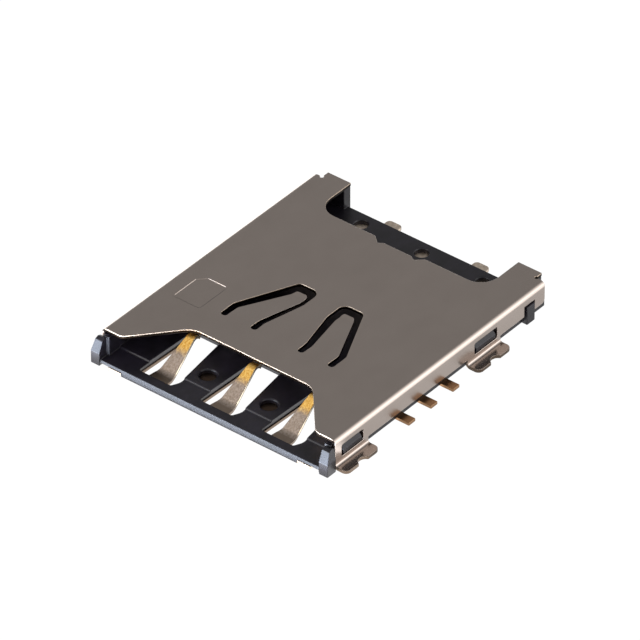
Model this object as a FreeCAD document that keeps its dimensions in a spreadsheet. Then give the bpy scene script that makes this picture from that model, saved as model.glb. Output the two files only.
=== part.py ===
import FreeCAD, Part
import Sketcher
import math
import operator
import os
from types import SimpleNamespace

# Push-pull socket for a nano SIM card.
# Widths are measured from the centre line, depths from the front lip towards the rear,
# heights from the solder plane. All sizes are in millimetres.

CONTACT_COLUMNS = {"left": -1, "middle": 0, "right": 1}
SIDES = {"left": -1, "right": 1}

DIMENSIONS = {
    "overall_depth": (12.04, "front lip to the ends of the rear tails"),
    "reach_past": (0.5, "how far a cut runs past the metal or plastic that it opens"),
    # Folded cover
    "sheet_thickness": (0.13, "thickness of the cover's sheet"),
    "cover_height": (1.17, "solder plane to the top of the cover"),
    "cover_half_width": (4.84, "centre line to the outer face of a side wall"),
    "cover_bend": (0.20, "outer radius of the bends along the top"),
    "cover_front": (0.50, "front edge of the cover"),
    "wall_bottom": (0.34, "lower edge of the side walls"),
    "wall_rear": (11.43, "rear edge of the side walls"),
    "wall_rear_radius": (0.15, "lower rear corner of a side wall"),
    "ear_rear": (11.74, "rear edge of the two ears"),
    "ear_outer": (4.47, "outer edge of an ear"),
    "relief_radius": (0.07, "round relief between ear and side wall"),
    "mouth_half_front": (4.02, "half width of the finger cut-out at the front edge"),
    "mouth_half_rear": (2.48, "half width of the finger cut-out at its rear"),
    "mouth_depth": (2.28, "rear edge of the finger cut-out"),
    "mouth_tip_radius": (0.35, "front corners of the finger cut-out"),
    "mouth_inner_radius": (0.70, "rear corners of the finger cut-out"),
    "back_half_width": (3.50, "half width of the rear cut-out"),
    "back_front": (9.94, "front edge of the rear cut-out"),
    "back_radius": (0.70, "corners of the rear cut-out"),
    "carrier_half_width": (0.58, "half width of the carrier stub in the rear cut-out"),
    "carrier_depth": (0.14, "how far the carrier stub stays in front of the cut-out's edge"),
    "nick_depth": (0.26, "depth of the nicks beside the carrier stub"),
    "nick_centre": (0.75, "centre line to the deepest point of a nick"),
    "nick_outer": (1.04, "outer end of a nick's flank"),
    "nick_radius": (0.04, "corners of the carrier stub and its nicks"),
    "nick_flank_radius": (0.10, "outer end of a nick"),
    # Side windows, notches and solder feet
    "window_length": (1.11, "length of a front side window"),
    "window_front": (0.83, "front edge of the front side windows"),
    "window_rear_front": (7.72, "front edge of the rear side windows"),
    "window_rear_length": (1.18, "length of a rear side window"),
    "window_low": (0.36, "lower edge of the side windows"),
    "window_high": (0.80, "upper edge of the side windows"),
    "window_radius": (0.06, "corners of the side windows"),
    "notch_front": (10.35, "front edge of the rear side notches"),
    "notch_rear": (10.90, "rear edge of the rear side notches"),
    "notch_high": (0.74, "upper edge of the rear side notches"),
    "foot_front_start": (0.50, "front edge of the front solder feet"),
    "foot_front_end": (2.20, "rear edge of the front solder feet"),
    "foot_rear_start": (7.36, "front edge of the rear solder feet"),
    "foot_rear_end": (9.08, "rear edge of the rear solder feet"),
    "foot_reach": (5.32, "centre line to the outer edge of a solder foot"),
    "foot_fold": (0.10, "inner radius of the fold above a solder foot"),
    "foot_corner": (0.20, "outer corners of the solder feet"),
    "foot_nick_radius": (0.26, "round nick in the middle of a foot's outer edge"),
    "foot_nick_centre": (0.10, "nick's centre beyond the foot's outer edge"),
    # Spring tongues that press on the card
    "tongue_root": (3.60, "line where a tongue leaves the cover"),
    "tongue_slot_start": (3.46, "front ends of the slot beside a tongue"),
    "tongue_inner_root": (1.10, "inner edge of a tongue at its root"),
    "tongue_inner_knee": (3.95, "depth at which the inner edge starts to slant"),
    "tongue_inner_bend": (5.62, "depth at which the inner edge runs straight again"),
    "tongue_inner_tip": (0.73, "inner edge of a tongue at its tip"),
    "tongue_outer_root": (2.10, "outer edge of a tongue at its root"),
    "tongue_outer_knee": (4.10, "depth at which the outer edge starts to slant"),
    "tongue_outer_tip": (1.19, "outer edge of a tongue at its tip"),
    "tongue_tip": (6.06, "tip of a tongue"),
    "tongue_slot": (0.24, "width of the slot beside a tongue"),
    "slot_inner_bend": (5.50, "depth at which the slot's inner edge runs straight again"),
    "slot_outer_knee": (4.18, "depth at which the slot's outer edge starts to slant"),
    "slot_outer_tip": (1.33, "slot's outer edge at its rear"),
    "slot_rear": (6.37, "rear edge of the slot round a tongue's tip"),
    "tongue_sweep_radius": (0.80, "large radii at the knees of a tongue"),
    "tongue_tip_radius": (0.12, "corners of a tongue's tip"),
    "slot_end_radius": (0.11, "round front ends of the slot"),
    "slot_inner_radius": (0.30, "rear inner corner of the slot"),
    "slot_outer_radius": (0.20, "rear outer corner of the slot"),
    "tongue_bend": (3.75, "depth at which a tongue starts to slope down"),
    "tongue_trough": (5.84, "depth of a tongue's lowest line"),
    "tongue_drop": (0.12, "how far the lowest line lies below the cover"),
    "tongue_lip_drop": (0.07, "how far the curled tip lies below the cover"),
    "tongue_bend_radius": (1.60, "radius of a tongue's bend at the root"),
    "tongue_lip_radius": (0.20, "radius of a tongue's curled tip"),
    # Shallow pressed field on the cover
    "field_left": (-4.12, "left edge of the pressed field"),
    "field_right": (-3.02, "right edge of the pressed field"),
    "field_front": (3.25, "front edge of the pressed field"),
    "field_rear": (4.70, "rear edge of the pressed field"),
    "field_chamfer": (0.30, "cut corner of the pressed field"),
    "field_radius": (0.10, "round corners of the pressed field"),
    "field_depth": (0.02, "depth of the pressed field"),
    # Lead frame that is moulded into the floor
    "lead_thickness": (0.12, "thickness of the contacts and anchors"),
    "contact_pitch": (2.54, "spacing of the contacts across the socket"),
    "row_pitch": (7.62, "spacing of the two contact rows"),
    "bar_front": (0.12, "front edge of a contact's crossbar"),
    "bar_rear": (0.42, "rear edge of a contact's crossbar"),
    "root_left": (0.38, "beam's left edge at its root, from the contact's centre"),
    "root_right": (0.42, "beam's right edge at its root, from the contact's centre"),
    "beam_knee": (0.62, "depth at which a beam starts to narrow"),
    "beam_waist": (1.50, "depth at which a beam reaches its slender part"),
    "waist_left": (0.11, "beam's left edge at the waist"),
    "waist_right": (0.27, "beam's right edge at the waist"),
    "tip_left": (0.07, "beam's left edge at the tip"),
    "tip_right": (0.22, "beam's right edge at the tip"),
    "beam_tip": (2.46, "tip of a beam"),
    "beam_fold": (0.92, "depth at which a beam starts to rise"),
    "beam_apex": (2.24, "depth of a beam's highest line"),
    "beam_apex_height": (1.02, "height of a beam's highest line before rounding"),
    "beam_tip_height": (0.84, "height of a beam's curled tip"),
    "beam_slope_stock": (0.14, "height of the stock measured on the slope"),
    "beam_fold_radius": (0.45, "radius of the fold at a beam's foot"),
    "beam_apex_radius": (0.30, "radius of the contact point"),
    "rail_left": (1.60, "left edge of a wide rail, left of the contact's centre"),
    "slim_rail_left": (1.00, "left edge of the slim rail, left of the contact's centre"),
    "rail_right": (0.65, "right edge of a rail at its front, left of the contact's centre"),
    "rail_right_rear": (0.55, "right edge of a rail from the rear of its window on"),
    "tail_width": (0.34, "width of the solder tails"),
    "tail_reach": (5.24, "centre line to the end of a solder tail"),
    "tail_front": (3.95, "depth of the front solder tails"),
    "tail_middle": (5.10, "depth of the middle solder tails"),
    "tail_rear": (6.25, "depth of the rear solder tails"),
    "jog_left": (2.44, "left edge of the jog in the rear middle lead"),
    "jog_rear": (5.79, "rear edge of the jog in the rear middle lead"),
    # Anchors
    "tab_inner": (3.66, "inner edge of a front anchor"),
    "tab_outer": (4.20, "outer edge of a front anchor"),
    "tab_rear": (1.20, "rear end of a front anchor"),
    "strap_half_width": (2.90, "half width of the rear anchor's strap"),
    "strap_front": (10.75, "front edge of the rear anchor's strap"),
    "strap_rear": (11.45, "rear edge of the rear anchor's strap"),
    "peg_centre": (1.83, "centre line to the middle of a rear tail"),
    "peg_width": (0.60, "width of a rear tail"),
    "peg_corner": (0.15, "outer corners of a rear tail"),
    # Moulded housing
    "body_half_width": (4.71, "centre line to the outer face of the housing"),
    "slot_half_width": (4.47, "centre line to the side of the card slot"),
    "floor_height": (0.30, "top of the floor under the card"),
    "floor_rear": (11.59, "rear edge of the floor"),
    "floor_chamfer": (0.05, "lower long edges of the floor"),
    "lip_foot": (0.04, "height of the lip's upright part"),
    "lip_lean": (0.07, "how far the lip leans back"),
    "lip_height": (0.23, "height of the lip"),
    "ramp_rear": (0.91, "rear end of the entry ramp"),
    "ramp_height": (0.25, "height of the entry ramp at its rear end"),
    "ramp_step": (0.05, "slanted step from the ramp to the floor"),
    "wall_start": (0.40, "front end of the housing's side walls"),
    "post_inner": (4.555, "inner face of a front post"),
    "post_outer": (4.92, "outer face of a front post"),
    "post_rear": (0.44, "rear face of a front post"),
    "post_shoulder": (0.49, "height at which a post starts to lean"),
    "post_lean": (0.17, "how far a post leans back"),
    "post_lean_in": (0.07, "how far a post's outer face leans inwards"),
    "post_height": (0.90, "height of a post's front crest"),
    "post_top": (0.96, "height of a post's crown"),
    "post_crown": (0.30, "depth of a post's crown"),
    "post_radius": (0.06, "rounding of a post's crown"),
    "post_shoulder_radius": (0.10, "rounding of a post's shoulder"),
    "pocket_outer": (4.555, "outer side of the pocket in the lip's underside"),
    "pocket_rear": (0.35, "rear end of the pocket in the lip's underside"),
    "gap_front": (0.42, "front edge of a contact window, from its row"),
    "gap_rear": (3.24, "rear edge of a front contact window"),
    "gap_back_row_rear": (10.50, "rear edge of the contact windows of the back row"),
    "gap_left_front": (0.69, "window's left edge at its front, from the contact's centre"),
    "gap_left_rear": (0.59, "window's left edge at its rear"),
    "gap_right_front": (0.63, "window's right edge at its front"),
    "gap_right_knee": (0.80, "window's right edge at its widest"),
    "gap_right_rear": (0.47, "window's right edge at its rear"),
    "gap_knee": (0.75, "depth at which a window is widest, from its row"),
    "gap_radius": (0.08, "corners of the contact windows"),
    "gap_knee_radius": (0.45, "rounding of a contact window at its widest"),
    "gate_radius": (0.29, "radius of the front clamping holes"),
    "gate_offset": (1.27, "centre line to a front clamping hole"),
    "gate_depth": (1.55, "depth of the front clamping holes"),
    "rear_gate_radius": (0.235, "radius of the rear clamping holes"),
    "rear_gate_depth": (11.08, "depth of the rear clamping holes"),
    "gate_chamfer": (0.04, "chamfer round the clamping holes"),
    "catch_gap": (0.08, "gap round a catch in its side window"),
    "catch_low": (0.40, "lower face of a catch"),
    "catch_high": (0.72, "top of a catch's ramp"),
    "catch_flat": (0.56, "top of a catch's upright face"),
    "boss_gap": (0.07, "gap beside a rear boss in its notch"),
    "boss_reach": (4.90, "centre line to the outer face of a rear boss"),
    "boss_height": (0.70, "height of the rear bosses"),
    "stop_inner": (3.50, "inner face of a card stop"),
    "stop_front": (11.37, "front face of a card stop"),
    "stop_rear": (11.72, "rear face of a card stop"),
    "stop_niche_depth": (0.14, "depth of the niche in a card stop's rear face"),
    "stop_niche_wall": (0.16, "wall beside the niche in a card stop"),
}


class Size:
    """A length, known as a formula over the sheet and by its present value."""

    def __init__(self, formula, value):
        self.formula = formula
        self.value = value

    def joined(self, sign, other, action):
        """Return this size joined to another by + - * or /."""
        other = as_size(other)
        return Size(f"({self.formula} {sign} {other.formula})", action(self.value, other.value))

    def __add__(self, other):
        return self.joined("+", other, operator.add)

    def __sub__(self, other):
        return self.joined("-", other, operator.sub)

    def __mul__(self, other):
        return self.joined("*", other, operator.mul)

    def __truediv__(self, other):
        return self.joined("/", other, operator.truediv)

    def __neg__(self):
        return self * -1


def as_size(number):
    """Return a plain number as a Size, and a Size as it is."""
    if isinstance(number, Size):
        return number
    return Size(f"({number})", number)


def fill_sheet(document):
    """Write the driving dimensions to a sheet and return them as named sizes."""
    sheet = document.addObject("Spreadsheet::Sheet", "dims")
    for row, (alias, (value, note)) in enumerate(DIMENSIONS.items(), start=1):
        sheet.set(f"A{row}", alias)
        sheet.set(f"B{row}", str(value))
        sheet.set(f"C{row}", note)
        sheet.setAlias(f"B{row}", alias)
    document.recompute()
    return SimpleNamespace(**{alias: Size(f"dims.{alias}", sheet.get(alias)) for alias in DIMENSIONS})


doc = FreeCAD.newDocument("sim_card_socket")
d = fill_sheet(doc)


def mirrored(outline):
    """Return an outline mirrored to the other side of the centre line."""
    return [(-as_size(corner[0]), *corner[1:]) for corner in reversed(outline)]


def rectangle(x_low, x_high, y_low, y_high, radius=None):
    """Return the four corners of a rectangle, rounded where a radius is given."""
    places = ((x_low, y_low), (x_high, y_low), (x_high, y_high), (x_low, y_high))
    return list(places) if radius is None else [(*place, radius) for place in places]


def pin(sketch, geometry, end, x, y):
    """Hold one point of a sketch at its distances from the sketch's origin."""
    for kind, place in (("DistanceX", as_size(x)), ("DistanceY", as_size(y))):
        index = sketch.addConstraint(Sketcher.Constraint(kind, -1, 1, geometry, end, place.value))
        sketch.setExpression(f"Constraints[{index}]", place.formula)


def hold_radius(sketch, geometry, radius):
    """Bind the radius of an arc or circle to its size."""
    index = sketch.addConstraint(Sketcher.Constraint("Radius", geometry, radius.value))
    sketch.setExpression(f"Constraints[{index}]", radius.formula)


def rounding(before, here, after, radius):
    """Return where a rounded corner starts and ends, and its arc, in drawing order or reversed."""
    way_in = (here - before).normalize()
    way_out = (after - here).normalize()
    turn = math.atan2(way_in.x * way_out.y - way_in.y * way_out.x, way_in.dot(way_out))
    side = 1 if turn > 0 else -1
    reach = radius * math.tan(abs(turn) / 2)
    start = here - way_in * reach
    end = here + way_out * reach
    centre = start + FreeCAD.Vector(-way_in.y, way_in.x, 0) * radius * side
    first, last = (start, end) if side > 0 else (end, start)
    angles = [math.atan2(point.y - centre.y, point.x - centre.x) for point in (first, last)]
    circle = Part.Circle(centre, FreeCAD.Vector(0, 0, 1), radius)
    return start, end, Part.ArcOfCircle(circle, angles[0], angles[1]), side > 0


def draw_outline(sketch, outline):
    """Draw a closed outline whose corners are (x, y) when sharp and (x, y, radius) when round."""
    count = len(outline)
    places = [FreeCAD.Vector(as_size(corner[0]).value, as_size(corner[1]).value, 0) for corner in outline]
    bends = {}
    for number, corner in enumerate(outline):
        if len(corner) == 3:
            after = places[(number + 1) % count]
            bends[number] = rounding(places[number - 1], places[number], after, corner[2].value)
    leaves = [bends[number][1] if number in bends else places[number] for number in range(count)]
    arrives = [bends[number][0] if number in bends else places[number] for number in range(count)]
    lines = [
        sketch.addGeometry(Part.LineSegment(leaves[number], arrives[(number + 1) % count]), False)
        for number in range(count)
    ]
    for number, corner in enumerate(outline):
        line_in = lines[number - 1]
        line_out = lines[number]
        if number not in bends:
            sketch.addConstraint(Sketcher.Constraint("Coincident", line_in, 2, line_out, 1))
            pin(sketch, line_out, 1, corner[0], corner[1])
            continue
        forward = bends[number][3]
        arc = sketch.addGeometry(bends[number][2], False)
        sketch.addConstraint(Sketcher.Constraint("Tangent", line_in, 2, arc, 1 if forward else 2))
        sketch.addConstraint(Sketcher.Constraint("Tangent", arc, 2 if forward else 1, line_out, 1))
        hold_radius(sketch, arc, corner[2])
        point = sketch.addGeometry(Part.Point(places[number]), True)
        sketch.addConstraint(Sketcher.Constraint("PointOnObject", point, 1, line_in))
        sketch.addConstraint(Sketcher.Constraint("PointOnObject", point, 1, line_out))
        pin(sketch, point, 1, corner[0], corner[1])


def draw_circle(sketch, x, y, radius):
    """Draw a circle whose centre and radius are bound to their sizes."""
    centre = FreeCAD.Vector(as_size(x).value, as_size(y).value, 0)
    circle = sketch.addGeometry(Part.Circle(centre, FreeCAD.Vector(0, 0, 1), radius.value), False)
    hold_radius(sketch, circle, radius)
    pin(sketch, circle, 3, x, y)


def new_body(name):
    """Start a body whose own origin is the front lip, placed so that the socket is centred."""
    body = doc.addObject("PartDesign::Body", name)
    body.setExpression("Placement.Base.y", f"{(-d.overall_depth / 2).formula}")
    return body


def sketch_on(body, name, role, height):
    """Start a sketch parallel to one of the body's origin planes, at a height above it."""
    plane = next(item for item in body.Origin.OriginFeatures if item.Role == role)
    sketch = body.newObject("Sketcher::SketchObject", f"{name}_sketch")
    sketch.AttachmentSupport = (plane, [""])
    sketch.MapMode = "FlatFace"
    offset = -height if role == "XZ_Plane" else height
    sketch.setExpression("AttachmentOffset.Base.z", offset.formula)
    return sketch


def extrude(body, kind, name, role, span, outlines=(), circles=()):
    """Pad or pocket closed outlines and circles between two heights above an origin plane."""
    low, high = as_size(span[0]), as_size(span[1])
    sketch = sketch_on(body, name, role, low)
    for outline in outlines:
        draw_outline(sketch, outline)
    for circle in circles:
        draw_circle(sketch, *circle)
    feature = body.newObject(f"PartDesign::{kind}", name)
    feature.Profile = sketch
    feature.setExpression("Length", (high - low).formula)
    # The normal of the XZ plane points to the front, and a pocket runs against its normal.
    feature.Reversed = (role == "XZ_Plane") != (kind == "Pocket")
    sketch.Visibility = False
    return feature


def edges_between(feature, low, high):
    """Return the names of a feature's edges that lie inside a box."""
    box = FreeCAD.BoundBox(*(min(pair) for pair in zip(low, high)), *(max(pair) for pair in zip(low, high)))
    box.enlarge(0.001)
    return [
        f"Edge{number}"
        for number, edge in enumerate(feature.Shape.Edges, start=1)
        if all(box.isInside(vertex.Point) for vertex in edge.Vertexes)
    ]


def dress(body, kind, name, base, size_name, size, boxes):
    """Fillet or chamfer the edges of a feature that lie inside any of the given boxes."""
    doc.recompute()
    edges = sorted({edge for low, high in boxes for edge in edges_between(base, low, high)})
    feature = body.newObject(f"PartDesign::{kind}", name)
    feature.Base = (base, edges)
    feature.setExpression(size_name, size.formula)
    return feature


def place_values(*sizes):
    """Return the present values of sizes as a point."""
    return tuple(as_size(size).value for size in sizes)


def cover_section():
    """Return the cover's section across the socket: a top with two walls bent down."""
    outer = d.cover_half_width
    inner = d.cover_half_width - d.sheet_thickness
    underside = d.cover_height - d.sheet_thickness
    inner_bend = d.cover_bend - d.sheet_thickness
    return [
        (outer, d.wall_bottom),
        (outer, d.cover_height, d.cover_bend),
        (-outer, d.cover_height, d.cover_bend),
        (-outer, d.wall_bottom),
        (-inner, d.wall_bottom),
        (-inner, underside, inner_bend),
        (inner, underside, inner_bend),
        (inner, d.wall_bottom),
    ]


def mouth_outline():
    """Return the finger cut-out at the front of the cover, open to the front."""
    past = d.cover_front - d.reach_past
    corner = (d.mouth_half_front, d.cover_front, d.mouth_tip_radius)
    inner = (d.mouth_half_rear, d.mouth_depth, d.mouth_inner_radius)
    right = [(d.slot_half_width, past), (d.slot_half_width, d.cover_front), corner, inner]
    return right + mirrored(right)


def back_outline():
    """Return the rear cut-out of the cover with its carrier stub, open to the rear."""
    past = d.ear_rear + d.reach_past
    right = [
        (d.carrier_half_width, d.back_front - d.carrier_depth, d.nick_radius),
        (d.nick_centre, d.back_front - d.nick_depth, d.nick_radius),
        (d.nick_outer, d.back_front, d.nick_flank_radius),
        (d.back_half_width, d.back_front, d.back_radius),
        (d.back_half_width, past),
    ]
    return right + mirrored(right)


def slot_outline():
    """Return the opening round the right tongue, up to the line where the tongue starts."""
    inner_front = d.tongue_inner_root - d.tongue_slot
    inner_rear = d.tongue_inner_tip - d.tongue_slot
    outer = d.tongue_outer_root + d.tongue_slot
    return [
        (d.tongue_inner_root, d.tongue_root),
        (d.tongue_inner_root, d.tongue_slot_start, d.slot_end_radius),
        (inner_front, d.tongue_slot_start, d.slot_end_radius),
        (inner_front, d.tongue_inner_knee, d.tongue_sweep_radius),
        (inner_rear, d.slot_inner_bend, d.tongue_sweep_radius),
        (inner_rear, d.slot_rear, d.slot_inner_radius),
        (d.slot_outer_tip, d.slot_rear, d.slot_outer_radius),
        (outer, d.slot_outer_knee, d.slot_inner_radius),
        (outer, d.tongue_slot_start, d.slot_end_radius),
        (d.tongue_outer_root, d.tongue_slot_start, d.slot_end_radius),
        (d.tongue_outer_root, d.tongue_root),
    ]


def tongue_outline():
    """Return the right tongue as seen from above."""
    return [
        (d.tongue_inner_root, d.tongue_root),
        (d.tongue_outer_root, d.tongue_root),
        (d.tongue_outer_root, d.tongue_outer_knee, d.slot_inner_radius),
        (d.tongue_outer_tip, d.tongue_tip, d.tongue_tip_radius),
        (d.tongue_inner_tip, d.tongue_tip, d.tongue_tip_radius),
        (d.tongue_inner_tip, d.tongue_inner_bend, d.tongue_sweep_radius),
        (d.tongue_inner_root, d.tongue_inner_knee, d.tongue_sweep_radius),
    ]


def tongue_section():
    """Return a tongue as seen from the side: flat, sloping down, then curled up at the tip."""
    top = d.cover_height
    thick = d.sheet_thickness
    trough = top - d.tongue_drop
    lip = top - d.tongue_lip_drop
    return [
        (d.tongue_root, top - thick),
        (d.tongue_bend, top - thick, d.tongue_bend_radius),
        (d.tongue_trough, trough - thick, d.tongue_lip_radius + thick),
        (d.tongue_tip, lip - thick),
        (d.tongue_tip, lip),
        (d.tongue_trough, trough, d.tongue_lip_radius),
        (d.tongue_bend, top, d.tongue_bend_radius + thick),
        (d.tongue_root, top),
    ]


def foot_section():
    """Return the section of a right solder foot: the wall, its fold and the flat foot."""
    outer = d.cover_half_width
    inner = d.cover_half_width - d.sheet_thickness
    return [
        (inner, d.wall_bottom),
        (inner, 0, d.foot_fold + d.sheet_thickness),
        (d.foot_reach, 0),
        (d.foot_reach, d.sheet_thickness),
        (outer, d.sheet_thickness, d.foot_fold),
        (outer, d.wall_bottom),
    ]


def field_outline():
    """Return the shallow pressed field on the cover, a rectangle with one cut corner."""
    return [
        (d.field_left, d.field_front, d.field_radius),
        (d.field_right, d.field_front, d.field_radius),
        (d.field_right, d.field_rear, d.field_radius),
        (d.field_left + d.field_chamfer, d.field_rear),
        (d.field_left, d.field_rear - d.field_chamfer),
    ]


def fuse(name, pieces):
    """Join pieces into one solid without the seams between them."""
    joined = doc.addObject("Part::MultiFuse", name)
    joined.Shapes = pieces
    joined.Refine = True
    joined.Label = name
    return joined


def across_cover():
    """Return a span that runs past both side walls of the cover."""
    past = d.cover_half_width + d.reach_past
    return -past, past


def through_top():
    """Return a span from under the tongues to above the cover."""
    return d.cover_height - d.tongue_drop - d.reach_past, d.cover_height + d.reach_past


def cut_top(body):
    """Cut the finger opening, the rear opening and the slots round the tongues."""
    mouth_span = (d.cover_height - d.cover_bend, d.cover_height + d.reach_past)
    extrude(body, "Pocket", "mouth", "XY_Plane", mouth_span, [mouth_outline()])
    extrude(body, "Pocket", "rear_opening", "XY_Plane", through_top(), [back_outline()])
    slots = [slot_outline(), mirrored(slot_outline())]
    extrude(body, "Pocket", "tongue_openings", "XY_Plane", through_top(), slots)


def cut_ears(body):
    """Cut the two ears free of the side walls, with a small round relief beside each."""
    past_wall = d.cover_half_width + d.reach_past
    corner = rectangle(d.ear_outer, past_wall, d.wall_rear, d.ear_rear + d.reach_past)
    full_height = (as_size(0), d.cover_height + d.reach_past)
    extrude(body, "Pocket", "ear_corners", "XY_Plane", full_height, [corner, mirrored(corner)])
    centre = d.ear_outer + d.relief_radius / 4
    reliefs = [(centre * way, d.wall_rear, d.relief_radius) for way in SIDES.values()]
    extrude(body, "Pocket", "ear_reliefs", "XY_Plane", through_top(), circles=reliefs)


def add_feet(body):
    """Fold the four solder feet out of the side walls."""
    outlines = [foot_section(), mirrored(foot_section())]
    extrude(body, "Pad", "front_feet", "XZ_Plane", (d.foot_front_start, d.foot_front_end), outlines)
    extrude(body, "Pad", "rear_feet", "XZ_Plane", (d.foot_rear_start, d.foot_rear_end), outlines)


def cut_walls(body):
    """Cut the windows for the catches and the notches for the rear bosses."""
    openings = [
        rectangle(start, start + length, d.window_low, d.window_high, d.window_radius)
        for start, length in (
            (d.window_front, d.window_length),
            (d.window_rear_front, d.window_rear_length),
        )
    ]
    extrude(body, "Pocket", "side_windows", "YZ_Plane", across_cover(), openings)
    notch = rectangle(d.notch_front, d.notch_rear, as_size(0), d.notch_high)
    extrude(body, "Pocket", "rear_notches", "YZ_Plane", across_cover(), [notch])


def shape_feet(body):
    """Cut a round nick into each foot and round its corners."""
    middles = (
        (d.foot_front_start + d.foot_front_end) / 2,
        (d.foot_rear_start + d.foot_rear_end) / 2,
    )
    nick_centre = d.foot_reach + d.foot_nick_centre
    nicks = [
        (nick_centre * way, middle, d.foot_nick_radius)
        for middle in middles
        for way in SIDES.values()
    ]
    foot_top = (as_size(0), d.wall_bottom)
    nicked = extrude(body, "Pocket", "foot_nicks", "XY_Plane", foot_top, circles=nicks)
    corners = [
        (place_values(side, depth, 0), place_values(side, depth, d.sheet_thickness))
        for side in (d.foot_reach, -d.foot_reach)
        for depth in (d.foot_front_start, d.foot_front_end, d.foot_rear_start, d.foot_rear_end)
    ]
    return dress(body, "Fillet", "foot_corners", nicked, "Radius", d.foot_corner, corners)


def round_heels(body, last):
    """Round the lower rear corners of the two side walls."""
    heels = [
        (
            place_values(d.cover_half_width * way, d.wall_rear, d.wall_bottom),
            place_values((d.cover_half_width - d.sheet_thickness) * way, d.wall_rear, d.wall_bottom),
        )
        for way in SIDES.values()
    ]
    dress(body, "Fillet", "wall_heels", last, "Radius", d.wall_rear_radius, heels)


def cover_sheet():
    """Build the folded sheet of the cover with all that is cut into it."""
    body = new_body("cover_sheet")
    extrude(body, "Pad", "folded_sheet", "XZ_Plane", (d.cover_front, d.ear_rear), [cover_section()])
    cut_top(body)
    cut_ears(body)
    add_feet(body)
    cut_walls(body)
    round_heels(body, shape_feet(body))
    field_span = (d.cover_height - d.field_depth, d.cover_height + d.reach_past)
    extrude(body, "Pocket", "pressed_field", "XY_Plane", field_span, [field_outline()])
    return body


def tongues():
    """Build the two spring tongues: their outline from above cut out of their bent strip."""
    profile = new_body("tongue_profile")
    extrude(profile, "Pad", "tongue_strip", "YZ_Plane", across_cover(), [tongue_section()])
    plan = new_body("tongue_plan")
    outlines = [tongue_outline(), mirrored(tongue_outline())]
    extrude(plan, "Pad", "tongue_blank", "XY_Plane", through_top(), outlines)
    pair = doc.addObject("Part::MultiCommon", "tongue_pair")
    pair.Shapes = [profile, plan]
    return pair


def shell():
    """Build the folded metal cover with its feet and spring tongues."""
    return fuse("shell", [cover_sheet(), tongues()])


def beam_section(row):
    """Return a contact beam from the side: flat root, rising arm and curled tip."""
    slope = d.beam_slope_stock
    return [
        (row + d.bar_front, as_size(0)),
        (row + d.beam_fold, as_size(0), d.beam_fold_radius + d.lead_thickness),
        (row + d.beam_apex, d.beam_apex_height - slope, d.beam_apex_radius - d.lead_thickness),
        (row + d.beam_tip, d.beam_tip_height - slope),
        (row + d.beam_tip, d.beam_tip_height),
        (row + d.beam_apex, d.beam_apex_height, d.beam_apex_radius),
        (row + d.beam_fold, d.lead_thickness, d.beam_fold_radius),
        (row + d.bar_front, d.lead_thickness),
    ]


def beam_offcuts(centre, row):
    """Return what is trimmed off both sides of a beam blank so that it tapers."""
    past = row + d.beam_tip + d.reach_past
    knee = row + d.beam_knee
    waist = row + d.beam_waist
    tip = row + d.beam_tip
    right_past = centre + d.root_right + d.reach_past
    left_past = centre - d.root_left - d.reach_past
    right = [
        (right_past, knee),
        (right_past, past),
        (centre + d.tip_right, past),
        (centre + d.tip_right, tip),
        (centre + d.waist_right, waist, d.beam_fold_radius),
        (centre + d.root_right, knee),
    ]
    left = [
        (left_past, knee),
        (centre - d.root_left, knee),
        (centre - d.waist_left, waist, d.beam_fold_radius),
        (centre - d.tip_left, tip),
        (centre - d.tip_left, past),
        (left_past, past),
    ]
    return [left, right]


def tail_span(depth):
    """Return the front and rear edges of a solder tail at a depth."""
    return depth - d.tail_width / 2, depth + d.tail_width / 2


def front_lead(centre, rail_left, depth, way):
    """Return a front lead's outline: crossbar, rail beside the window, tail to one side."""
    tail_low, tail_high = tail_span(depth)
    near, far = (tail_low, tail_high) if way > 0 else (tail_high, tail_low)
    end = d.tail_reach * way
    left = centre - rail_left
    right = centre - d.rail_right_rear
    return [
        (left, d.bar_front),
        (centre + d.root_right, d.bar_front),
        (centre + d.root_right, d.bar_rear),
        (centre - d.rail_right, d.bar_rear),
        (right, d.gap_rear),
        (right, near),
        (end, near),
        (end, far),
        (left, far),
    ]


def rear_side_lead(centre, way):
    """Return the outline of an outer rear lead: a strip forward from the crossbar, then a tail."""
    tail_low, tail_high = tail_span(d.tail_rear)
    end = d.tail_reach * way
    near = centre - d.root_left if way < 0 else centre + d.root_right
    far = centre + d.root_right if way < 0 else centre - d.root_left
    rear = d.row_pitch + d.bar_rear
    return [(near, rear), (near, tail_high), (end, tail_high), (end, tail_low), (far, tail_low), (far, rear)]


def rear_middle_lead():
    """Return the outline of the middle rear lead, which jogs past the front middle lead."""
    tail_low, tail_high = tail_span(d.tail_middle)
    rear = d.row_pitch + d.bar_rear
    return [
        (-d.root_left, rear),
        (-d.root_left, d.jog_rear),
        (-d.jog_left, d.jog_rear),
        (-d.jog_left, tail_high),
        (-d.tail_reach, tail_high),
        (-d.tail_reach, tail_low),
        (d.tail_width - d.jog_left, tail_low),
        (d.tail_width - d.jog_left, d.jog_rear - d.tail_width),
        (d.root_right, d.jog_rear - d.tail_width),
        (d.root_right, rear),
    ]


def contact(name, centre, row, lead):
    """Build one contact: its flat lead in the floor and its sprung beam."""
    body = new_body(name)
    flat = (as_size(0), d.lead_thickness)
    extrude(body, "Pad", f"{name}_lead", "XY_Plane", flat, [lead])
    width = (centre - d.root_left, centre + d.root_right)
    extrude(body, "Pad", f"{name}_beam", "YZ_Plane", width, [beam_section(row)])
    height = (-d.reach_past, d.cover_height)
    extrude(body, "Pocket", f"{name}_taper", "XY_Plane", height, beam_offcuts(centre, row))
    body.Label = name
    return body


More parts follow.
